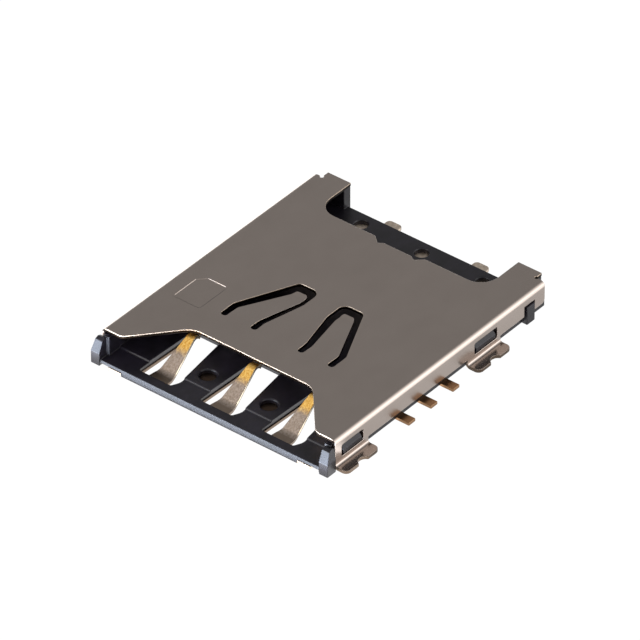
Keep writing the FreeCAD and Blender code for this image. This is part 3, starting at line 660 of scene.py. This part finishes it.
@dataclass(frozen=True)
class CopiedPart:
    """A CAD node, and the piece with rounded creases that is made from it."""

    node: str
    name: str
    slot: str
    edge_radius: float

    def skin(self) -> Skin:
        """Return the node's skin, not rounded yet."""
        return creased_copy(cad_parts[self.node].data)

    def finished(self, skin: Skin, materials: list[Material]) -> Object:
        """Round the skin, shade it as the CAD is and put it in the node's place.

        Args:
            skin: Skin of the node. It is freed.
            materials: Materials of the piece, in the order of its slots.

        Returns:
            The finished piece.
        """
        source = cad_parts[self.node].data
        piece = rounded_piece(self.name, skin, self.edge_radius, materials)
        keep_on_surface(piece, source, self.edge_radius)
        keep_cad_normals(piece, source)
        return seat(piece, self.node)


@dataclass
class Cover:
    """Folded sheet metal cover with its tongues and solder feet."""

    part: CopiedPart = CopiedPart("shell", "cover", "cover_steel", 0.018 * MM)
    thickness: float = 0.13 * MM
    pressed_step: float = 0.05 * MM

    def build(self, faces: RolledSteel, cuts: ShearedEdge) -> Object:
        """Build the cover.

        Args:
            faces: Finish of the rolled faces.
            cuts: Finish of the cut edges.

        Returns:
            The finished piece.
        """
        skin = self.part.skin()
        mark_cut_edges(skin, self.thickness, self.pressed_step)
        return self.part.finished(skin, [faces.material(), cuts.material()])


@dataclass
class Housing:
    """Moulded body under the cover."""

    part: CopiedPart = CopiedPart("housing", "housing_moulding", "moulded_plastic", 0.022 * MM)

    def build(self, polymer: MouldedPolymer) -> Object:
        """Build the housing.

        Args:
            polymer: Finish of the moulding.

        Returns:
            The finished piece.
        """
        return self.part.finished(self.part.skin(), [polymer.material()])


@dataclass
class Anchors:
    """Flat stamped anchors that hold the housing to the board."""

    nodes: tuple[str, ...] = ("front_anchor_left", "front_anchor_right", "rear_anchor")
    edge_radius: float = 0.016 * MM

    def build(self, tin: TinnedStrip) -> list[Object]:
        """Build the three anchors.

        Args:
            tin: Finish of the strip, which is plated after it is cut.

        Returns:
            The finished pieces.
        """
        material = tin.material()
        pieces = []
        for node in self.nodes:
            part = CopiedPart(node, f"{node}_strip", "anchor_metal", self.edge_radius)
            pieces.append(part.finished(part.skin(), [material]))
        return pieces


class Column(Enum):
    """Columns of contacts across the socket, as steps of the contact pitch."""

    LEFT = -1
    MIDDLE = 0
    RIGHT = 1


class Row(Enum):
    """Rows of contacts, as steps of the row pitch."""

    FRONT = 0
    REAR = 1


class SprungBeam:
    """Geometry Nodes tree that bends a tapered strip along a folded path."""

    DEPTH = "depth_from_row"
    THROUGH = "share_of_thickness"
    # The path's corners are the root, the fold, the contact point and the tip, from 0 to 3.
    AFTER_FOLD = 1.5
    STEPS_PER_FOLD = 7
    # The strip is swept this wide and then drawn in to its two edges.
    SWEPT_WIDTH = 2 * MM
    SIZES = (
        ("Row", "start of the contact's row"),
        ("Centre", "centre of the contact across the socket"),
        ("Thickness", "thickness of the strip"),
        ("Fold radius", "radius of the fold where the beam rises"),
        ("Point radius", "radius of the contact point"),
        ("Root left", "left edge at the root"),
        ("Root right", "right edge at the root"),
        ("Waist left", "left edge at the waist"),
        ("Waist right", "right edge at the waist"),
        ("Tip left", "left edge at the tip"),
        ("Tip right", "right edge at the tip"),
        ("Knee", "depth where the taper starts"),
        ("Waist", "depth where the taper ends"),
        ("Tip", "depth of the tip"),
    )

    def __init__(self, material: Material) -> None:
        """Build the tree.

        Args:
            material: Material that the tree sets on the strip.
        """
        self.tree = bpy.data.node_groups.new("sprung_beam", "GeometryNodeTree")
        self.sockets: dict[str, str] = {}
        face = self.tree.interface
        face.new_socket("Geometry", in_out="INPUT", socket_type="NodeSocketGeometry")
        for name, note in self.SIZES:
            socket = face.new_socket(
                name, description=note, in_out="INPUT", socket_type="NodeSocketFloat"
            )
            self.sockets[name] = socket.identifier
        face.new_socket("Geometry", in_out="OUTPUT", socket_type="NodeSocketGeometry")
        self.given = self.tree.nodes.new("NodeGroupInput").outputs
        shaped = self.tapered(self.strip())
        whole = add_node(self.tree, "GeometryNodeRealizeInstances", {"Geometry": shaped})
        feeds = {"Geometry": whole.outputs[0], "Material": material}
        dressed = add_node(self.tree, "GeometryNodeSetMaterial", feeds)
        add_node(self.tree, "NodeGroupOutput", {0: dressed.outputs[0]})

    def position(self) -> bpy.types.bpy_prop_collection:
        """Return the outputs X, Y and Z of a point's place."""
        place = add_node(self.tree, "GeometryNodeInputPosition").outputs[0]
        return add_node(self.tree, "ShaderNodeSeparateXYZ", {0: place}).outputs

    def stored(self, geometry: Socket, name: str, value: Socket) -> Socket:
        """Store a value on each point of a geometry.

        Args:
            geometry: Curve or mesh.
            name: Name of the attribute.
            value: Value to store.

        Returns:
            The geometry with the attribute.
        """
        feeds = {"Geometry": geometry, "Name": name, "Value": value}
        node = add_node(self.tree, "GeometryNodeStoreNamedAttribute", feeds, domain="POINT")
        return node.outputs[0]

    def strip(self) -> Socket:
        """Sweep a wide strip along the path, with rounded folds, and return it."""
        tree, given = self.tree, self.given
        path = add_node(tree, "GeometryNodeMeshToCurve", {"Mesh": given["Geometry"]})
        number = add_node(tree, "GeometryNodeInputIndex").outputs[0]
        later = maths(tree, "GREATER_THAN", number, self.AFTER_FOLD)
        radius = spread(tree, later, (given["Fold radius"], given["Point radius"]), WHOLE)
        feeds = {"Curve": path.outputs[0], "Radius": radius, "Limit Radius": True}
        feeds["Count"] = self.STEPS_PER_FOLD
        rounded = add_node(tree, "GeometryNodeFilletCurve", feeds, mode="POLY")
        feeds = {"Curve": rounded.outputs[0]}
        level = add_node(tree, "GeometryNodeSetCurveNormal", feeds, mode="Z_UP")
        feeds = {"Width": self.SWEPT_WIDTH, "Height": given["Thickness"]}
        kind = "GeometryNodeCurvePrimitiveQuadrilateral"
        profile = add_node(tree, kind, feeds, mode="RECTANGLE").outputs[0]
        upper = maths(tree, "LESS_THAN", self.position()["Y"], 0.0)
        profile = self.stored(profile, self.THROUGH, upper)
        feeds = {"Curve": level.outputs[0], "Profile Curve": profile, "Fill Caps": True}
        return add_node(tree, "GeometryNodeCurveToMesh", feeds).outputs[0]

    def edge(self, depth: Socket, side: str) -> Socket:
        """Return how far one edge lies from the beam's centre.

        Args:
            depth: Depth of a point behind the start of the row.
            side: Either "left" or "right".

        Returns:
            The distance, which shrinks in two tapers from the root to the tip.
        """
        given = self.given
        ends = (given[f"Root {side}"], given[f"Waist {side}"])
        near = spread(self.tree, depth, ends, (given["Knee"], given["Waist"]))
        ends = (near, given[f"Tip {side}"])
        return spread(self.tree, depth, ends, (given["Waist"], given["Tip"]))

    def tapered(self, strip: Socket) -> Socket:
        """Draw both edges of the strip in to the taper and store the depth on its points.

        Args:
            strip: The wide strip.

        Returns:
            The tapered strip.
        """
        tree, given = self.tree, self.given
        parts = self.position()
        depth = maths(tree, "SUBTRACT", parts["Y"], given["Row"])
        right = maths(tree, "GREATER_THAN", parts["X"], 0.0)
        left_edge = maths(tree, "MULTIPLY", self.edge(depth, "left"), -1.0)
        across = spread(tree, right, (left_edge, self.edge(depth, "right")), WHOLE)
        sideways = maths(tree, "ADD", across, given["Centre"])
        feeds = {"X": sideways, "Y": parts["Y"], "Z": parts["Z"]}
        target = add_node(tree, "ShaderNodeCombineXYZ", feeds).outputs[0]
        moved = add_node(tree, "GeometryNodeSetPosition", {"Geometry": strip, "Position": target})
        return self.stored(moved.outputs[0], self.DEPTH, depth)

    def bend(self, name: str, path: list[Vector], sizes: dict[str, float]) -> Object:
        """Bend one beam.

        Args:
            name: Name of the object.
            path: Corners of the strip's middle line.
            sizes: Value of each named input.

        Returns:
            The beam as a plain mesh.
        """
        mesh = bpy.data.meshes.new(name)
        mesh.from_pydata(path, [(step, step + 1) for step in range(len(path) - 1)], [])
        beam = added(name, mesh)
        modifier = beam.modifiers.new("bend", "NODES")
        modifier.node_group = self.tree
        for key, value in sizes.items():
            modifier[self.sockets[key]] = value
        return plain(beam)


@dataclass
class Contact:
    """One stamped contact: a flat lead in the floor and a sprung beam above it.

    Depths are measured from the lip, or from the start of the contact's row for the beam. Pairs
    are left and right of the contact's centre, front and rear, or depth and height.
    """

    column: Column
    row: Row
    lip: float = -6.02 * MM
    pitch: float = 2.54 * MM
    row_pitch: float = 7.62 * MM
    thickness: float = 0.12 * MM
    bar: Pair = (0.12 * MM, 0.42 * MM)
    root: Pair = (0.38 * MM, 0.42 * MM)
    waist: Pair = (0.11 * MM, 0.27 * MM)
    tip: Pair = (0.07 * MM, 0.22 * MM)
    knee_depth: float = 0.62 * MM
    waist_depth: float = 1.50 * MM
    fold: Pair = (0.92 * MM, 0.06 * MM)
    point: Pair = (2.24 * MM, 0.95 * MM)
    end: Pair = (2.46 * MM, 0.77 * MM)
    fold_radius: float = 0.51 * MM
    point_radius: float = 0.24 * MM
    wide_rail: float = 1.60 * MM
    slim_rail: float = 1.00 * MM
    rail_right: Pair = (0.65 * MM, 0.55 * MM)
    window_rear: float = 3.24 * MM
    tail_width: float = 0.34 * MM
    tail_reach: float = 5.24 * MM
    front_tail: float = 3.95 * MM
    middle_tail: float = 5.10 * MM
    rear_tail: float = 6.25 * MM
    jog_left: float = 2.44 * MM
    jog_rear: float = 5.79 * MM
    edge_radius: float = 0.014 * MM

    @property
    def centre(self) -> float:
        """Return the contact's centre across the socket."""
        return self.pitch * self.column.value

    @property
    def start(self) -> float:
        """Return where the contact's row starts, behind the lip."""
        return self.row_pitch * self.row.value

    @property
    def node(self) -> str:
        """Return the CAD node's name."""
        return f"{self.row.name.lower()}_contact_{self.column.name.lower()}"

    def tail_sides(self, depth: float) -> Pair:
        """Return the front and rear side of a tail whose middle lies at a depth."""
        return depth - self.tail_width / 2, depth + self.tail_width / 2

    def lead(self) -> list[Pair]:
        """Return the lead's outline from above, whose last side is where the beam starts."""
        if self.row is Row.FRONT:
            return self.front_lead()
        if self.column is Column.MIDDLE:
            return self.rear_middle_lead()
        return self.rear_side_lead()

    def front_lead(self) -> list[Pair]:
        """Return the outline of a front lead: crossbar, rail and a tail to one side."""
        slim = self.column is Column.LEFT
        middle = self.column is Column.MIDDLE
        near, far = self.tail_sides(self.middle_tail if middle else self.front_tail)
        end = -self.tail_reach if slim else self.tail_reach
        left = self.centre - (self.slim_rail if slim else self.wide_rail)
        front_right, right = (self.centre - inner for inner in self.rail_right)
        tail = [(left, near), (end, near), (end, far), (right, far)]
        if not slim:
            tail = [(left, far), (end, far), (end, near), (right, near)]
        bar_right = self.centre + self.root[1]
        bar = [(bar_right, self.bar[1]), (bar_right, self.bar[0]), (left, self.bar[0])]
        rail = [(right, self.window_rear), (front_right, self.bar[1])]
        return bar + tail + rail + [(self.centre - self.root[0], self.bar[1])]

    def rear_side_lead(self) -> list[Pair]:
        """Return the outline of an outer rear lead: a strip to the front, then a tail."""
        near, far = self.tail_sides(self.rear_tail)
        left, right = self.centre - self.root[0], self.centre + self.root[1]
        rear = self.start + self.bar[1]
        if self.column is Column.RIGHT:
            tail = [(right, far), (self.tail_reach, far), (self.tail_reach, near), (left, near)]
        else:
            tail = [(right, near), (-self.tail_reach, near), (-self.tail_reach, far), (left, far)]
        return [(right, rear), *tail, (left, rear)]

    def rear_middle_lead(self) -> list[Pair]:
        """Return the outline of the middle rear lead, which jogs past the front middle lead."""
        near, far = self.tail_sides(self.middle_tail)
        left, right = self.centre - self.root[0], self.centre + self.root[1]
        rear = self.start + self.bar[1]
        jog_front = self.jog_rear - self.tail_width
        jog_right = self.tail_width - self.jog_left
        strip = [(right, rear), (right, jog_front), (jog_right, jog_front), (jog_right, near)]
        tail = [(-self.tail_reach, near), (-self.tail_reach, far), (-self.jog_left, far)]
        return strip + tail + [(-self.jog_left, self.jog_rear), (left, self.jog_rear), (left, rear)]

    def path(self) -> list[Vector]:
        """Return the corners of the beam's middle line."""
        corners = [(self.bar[1], self.thickness / 2), self.fold, self.point, self.end]
        return [Vector((0, self.lip + self.start + depth, height)) for depth, height in corners]

    def sizes(self) -> dict[str, float]:
        """Return the values of the beam tree's inputs."""
        values = {
            "Row": self.lip + self.start,
            "Centre": self.centre,
            "Thickness": self.thickness,
            "Fold radius": self.fold_radius,
            "Point radius": self.point_radius,
            "Knee": self.knee_depth,
            "Waist": self.waist_depth,
            "Tip": self.end[0],
        }
        for place, edges in (("Root", self.root), ("Waist", self.waist), ("Tip", self.tip)):
            values[f"{place} left"], values[f"{place} right"] = edges
        return values

    def join_lead(self, skin: Skin) -> None:
        """Add the flat lead and weld it where the beam starts.

        Args:
            skin: Skin of the beam.
        """
        root = self.lip + self.start + self.bar[1]
        caps = [
            face for face in skin.faces if all(abs(vert.co.y - root) < WELD for vert in face.verts)
        ]
        bmesh.ops.delete(skin, geom=caps, context="FACES_ONLY")
        outline = self.lead()
        low, high = [
            [skin.verts.new((x, self.lip + y, height)) for x, y in outline]
            for height in (0.0, self.thickness)
        ]
        skin.faces.new(high)
        skin.faces.new(reversed(low))
        for step in range(len(outline) - 1):
            skin.faces.new([low[step], low[step + 1], high[step + 1], high[step]])
        bmesh.ops.remove_doubles(skin, verts=skin.verts, dist=LEAD_WELD)
        bmesh.ops.recalc_face_normals(skin, faces=skin.faces)

    def build(self, beams: SprungBeam, cuts: Material) -> Object:
        """Build the contact.

        Args:
            beams: Tree that bends the beam.
            cuts: Material of the cut edges.

        Returns:
            The finished piece.
        """
        beam = beams.bend(f"{self.node}_beam", self.path(), self.sizes())
        plating = beam.data.materials[0]
        skin = bmesh.new()
        skin.from_mesh(beam.data)
        bpy.data.objects.remove(beam)
        self.join_lead(skin)
        depth = skin.verts.layers.float.get(SprungBeam.DEPTH)
        for vert in skin.verts:
            above_lead = vert.co.z > self.thickness + WELD
            vert[depth] = vert.co.y - self.lip - self.start if above_lead else 0.0
        weight = skin.edges.layers.float.new("bevel_weight_edge")
        for edge in skin.edges:
            edge[weight] = 1.0 if edge.calc_face_angle(0.0) > FOLD_STEP else 0.0
        mark_cut_edges(skin, self.thickness, 0.0)
        piece = rounded_piece(f"{self.node}_spring", skin, self.edge_radius, [plating, cuts])
        weigh_normals(piece)
        return seat(piece, self.node)


@dataclass(frozen=True)
class Lamp:
    """Soft square lamp that shines at the socket from a direction."""

    name: str
    direction: Triple
    distance: float
    width: float
    height: float
    radiance: float
    colour: str

    def hang(self) -> None:
        """Hang the lamp, unseen by the camera."""
        light = bpy.data.lights.new(self.name, "AREA")
        light.shape = "RECTANGLE"
        light.size = self.width
        light.size_y = self.height
        light.energy = self.radiance * math.pi * self.width * self.height
        light.color = linear(self.colour)[:3]
        lamp = added(self.name, light)
        way = Vector(self.direction).normalized()
        lamp.location = way * self.distance
        lamp.rotation_euler = way.to_track_quat("Z", "Y").to_euler()
        lamp.visible_camera = False


def sees_white(tree: Tree, rays: Node) -> Socket:
    """Return 1 for the rays that show the white background.

    Args:
        tree: Tree that gets the nodes.
        rays: Light path node of the tree.

    Returns:
        1 for camera, glossy and transmission rays, and 0 for those that only carry light.
    """
    first = maths(tree, "MAXIMUM", rays.outputs["Is Camera Ray"], rays.outputs["Is Glossy Ray"])
    return maths(tree, "MAXIMUM", first, rays.outputs["Is Transmission Ray"])


@dataclass(frozen=True)
class Studio:
    """White table and room, lamps, and the camera at the photograph's angle."""

    azimuth: float = 38.762
    elevation: float = 36.851
    distance: float = 311.88 * MM
    target: Triple = (0.0, -0.52 * MM, 0.6 * MM)
    shift_right: float = 0.1526 * MM
    shift_up: float = 0.1564 * MM
    lens: float = 540.2
    sensor: float = 36.0
    # Nearest and farthest that the camera sees, as shares of its distance.
    clip: Pair = (0.1, 20.0)
    table_half: float = 0.5
    table_drop: float = 0.02 * MM
    plain_light: float = 0.5
    # What metal sees of the room, against the white background's 1: the ceiling from front to
    # rear, and the wall on the right.
    ceiling: Pair = (0.6, 0.36)
    right_wall: float = 2.4
    # Where it changes, as parts of the unit vector of a direction.
    ceiling_depth: Pair = (-0.10, 0.30)
    ceiling_rise: Pair = (0.0, 0.30)
    wall_right: Pair = (0.10, 0.75)
    wall_rear: Pair = (-0.05, 0.25)
    # What the camera and metal see of the table: the socket shades the strips beside its walls,
    # and the low lamp in front makes a pool of light before the lip.
    table_seen: float = 1.06
    table_bright: float = 2.4
    table_shaded: float = 0.85
    table_behind: float = 0.8
    table_pool: float = 24.0
    pool_colour: str = "d4e0f2"
    # Where it changes, in depth and in distance from the middle.
    pool_rear: Pair = (-7.2 * MM, -6.5 * MM)
    shade_front: Pair = (-4.6 * MM, -4.1 * MM)
    shade_inner: Pair = (4.6 * MM, 4.8 * MM)
    shade_outer: Pair = (5.7 * MM, 6.6 * MM)
    behind_front: Pair = (5.4 * MM, 6.0 * MM)
    table_paint: str = "fafafa"
    # Share of the table that is plain white, so that the soft shadow on it stays pale.
    table_white: float = 0.95
    lamps: tuple[Lamp, ...] = (
        Lamp("front_left_lamp", (-0.50, -0.86, 0.12), 0.15, 0.16, 0.09, 7.0, "dbe8f6"),
        Lamp("high_front_lamp", (-0.50, -0.60, 0.62), 0.18, 0.06, 0.06, 3.6, "fff4e8"),
    )

    def camera(self) -> None:
        """Place the camera."""
        turn, rise = math.radians(self.azimuth), math.radians(self.elevation)
        level = math.cos(rise)
        back = Vector((math.sin(turn) * level, -math.cos(turn) * level, math.sin(rise)))
        right = Vector((math.cos(turn), math.sin(turn), 0.0))
        up = back.cross(right)
        data = bpy.data.cameras.new("camera")
        data.sensor_width = self.sensor
        data.lens = self.lens
        data.clip_start, data.clip_end = (self.distance * share for share in self.clip)
        camera = added("camera", data)
        aim = Vector(self.target) + right * self.shift_right + up * self.shift_up
        camera.location = aim + back * self.distance
        camera.rotation_euler = back.to_track_quat("Z", "Y").to_euler()
        bpy.context.scene.camera = camera

    def room(self) -> None:
        """Build the room: white to the camera, dim above and bright on the right to metal."""
        world = bpy.data.worlds.new("white_room")
        world.use_nodes = True
        tree = world.node_tree
        tree.nodes.clear()
        rays = add_node(tree, "ShaderNodeLightPath")
        way = place_parts(tree, "Generated")
        ceiling = spread(tree, way["Y"], self.ceiling, self.ceiling_depth)
        height = spread(tree, way["Z"], (1.0, ceiling), self.ceiling_rise)
        right = spread(tree, way["X"], WHOLE, self.wall_right)
        right = maths(tree, "MULTIPLY", right, right)
        right = maths(tree, "MULTIPLY", right, spread(tree, way["Y"], WHOLE, self.wall_rear))
        metal_sees = maths(tree, "MULTIPLY_ADD", right, self.right_wall, height)
        shown = spread(tree, rays.outputs["Is Glossy Ray"], (1.0, metal_sees), WHOLE)
        white = add_node(tree, "ShaderNodeBackground", {"Color": WHITE, "Strength": shown})
        feeds = {"Color": WHITE, "Strength": self.plain_light}
        plain_sky = add_node(tree, "ShaderNodeBackground", feeds)
        feeds = {0: sees_white(tree, rays), 1: plain_sky.outputs[0], 2: white.outputs[0]}
        sky = add_node(tree, "ShaderNodeMixShader", feeds)
        add_node(tree, "ShaderNodeOutputWorld", {"Surface": sky.outputs[0]})
        bpy.context.scene.world = world

    def table_light(self, tree: Tree, rays: Node) -> Socket:
        """Return the table's light: even to the camera, uneven to metal, blue in the pool.

        Args:
            tree: Tree of the table's material.
            rays: Light path node of the tree.

        Returns:
            The light.
        """
        place = place_parts(tree)
        metal = rays.outputs["Is Glossy Ray"]
        out = maths(tree, "ABSOLUTE", place["X"])
        ends = (self.table_bright, self.table_behind)
        middle = spread(tree, place["Y"], ends, self.behind_front)
        ends = (self.table_bright, self.table_shaded)
        beside = spread(tree, place["Y"], ends, self.shade_front)
        under = spread(tree, out, (middle, beside), self.shade_inner)
        beyond = spread(tree, out, (0.0, self.table_bright), self.shade_outer)
        glow = maths(tree, "MAXIMUM", under, beyond)
        pool = spread(tree, place["Y"], (1.0, 0.0), self.pool_rear)
        glow = maths(tree, "MULTIPLY_ADD", pool, self.table_pool, glow)
        strength = spread(tree, metal, (self.table_seen, glow), WHOLE)
        tint = maths(tree, "MULTIPLY", pool, metal)
        colour = blended(tree, tint, "ffffff", self.pool_colour)
        feeds = {"Color": colour, "Strength": strength}
        return add_node(tree, "ShaderNodeEmission", feeds).outputs[0]

    def table(self) -> None:
        """Build the white table that the socket stands on, open when seen from below."""
        half = self.table_half
        sides = ((-half, -half), (half, -half), (half, half), (-half, half))
        mesh = bpy.data.meshes.new("table")
        mesh.from_pydata([(x, y, -self.table_drop) for x, y in sides], [], [(0, 1, 2, 3)])
        material, tree = blank_material("white_table")
        rays = add_node(tree, "ShaderNodeLightPath")
        share = maths(tree, "MULTIPLY", sees_white(tree, rays), self.table_white)
        paint = add_node(tree, "ShaderNodeBsdfDiffuse", {"Color": linear(self.table_paint)})
        feeds = {0: share, 1: paint.outputs[0], 2: self.table_light(tree, rays)}
        top = add_node(tree, "ShaderNodeMixShader", feeds)
        below = add_node(tree, "ShaderNodeBsdfTransparent")
        side = add_node(tree, "ShaderNodeNewGeometry").outputs["Backfacing"]
        feeds = {0: side, 1: top.outputs[0], 2: below.outputs[0]}
        surface = add_node(tree, "ShaderNodeMixShader", feeds)
        add_node(tree, "ShaderNodeOutputMaterial", {"Surface": surface.outputs[0]})
        mesh.materials.append(material)
        table = added("table", mesh)

    def build(self) -> None:
        """Build the room, table, lamps and camera."""
        bpy.context.scene.view_settings.view_transform = "Standard"
        self.room()
        self.table()
        for lamp in self.lamps:
            lamp.hang()
        self.camera()
        LOG.info("studio: %d lamps, camera %.0f mm away", len(self.lamps), self.distance / MM)


def main() -> None:
    """Build the studio and every piece of the socket."""
    logging.basicConfig(level=logging.INFO, format="%(name)s: %(message)s")
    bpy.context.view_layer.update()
    Studio().build()
    Cover().build(RolledSteel(), ShearedEdge())
    Housing().build(MouldedPolymer())
    bare = BareBronze().material()
    beams = SprungBeam(PlatedStrip().material())
    for row in Row:
        for column in Column:
            Contact(column, row).build(beams, bare)
    Anchors().build(TinnedStrip())


if __name__ == "__main__":
    main()
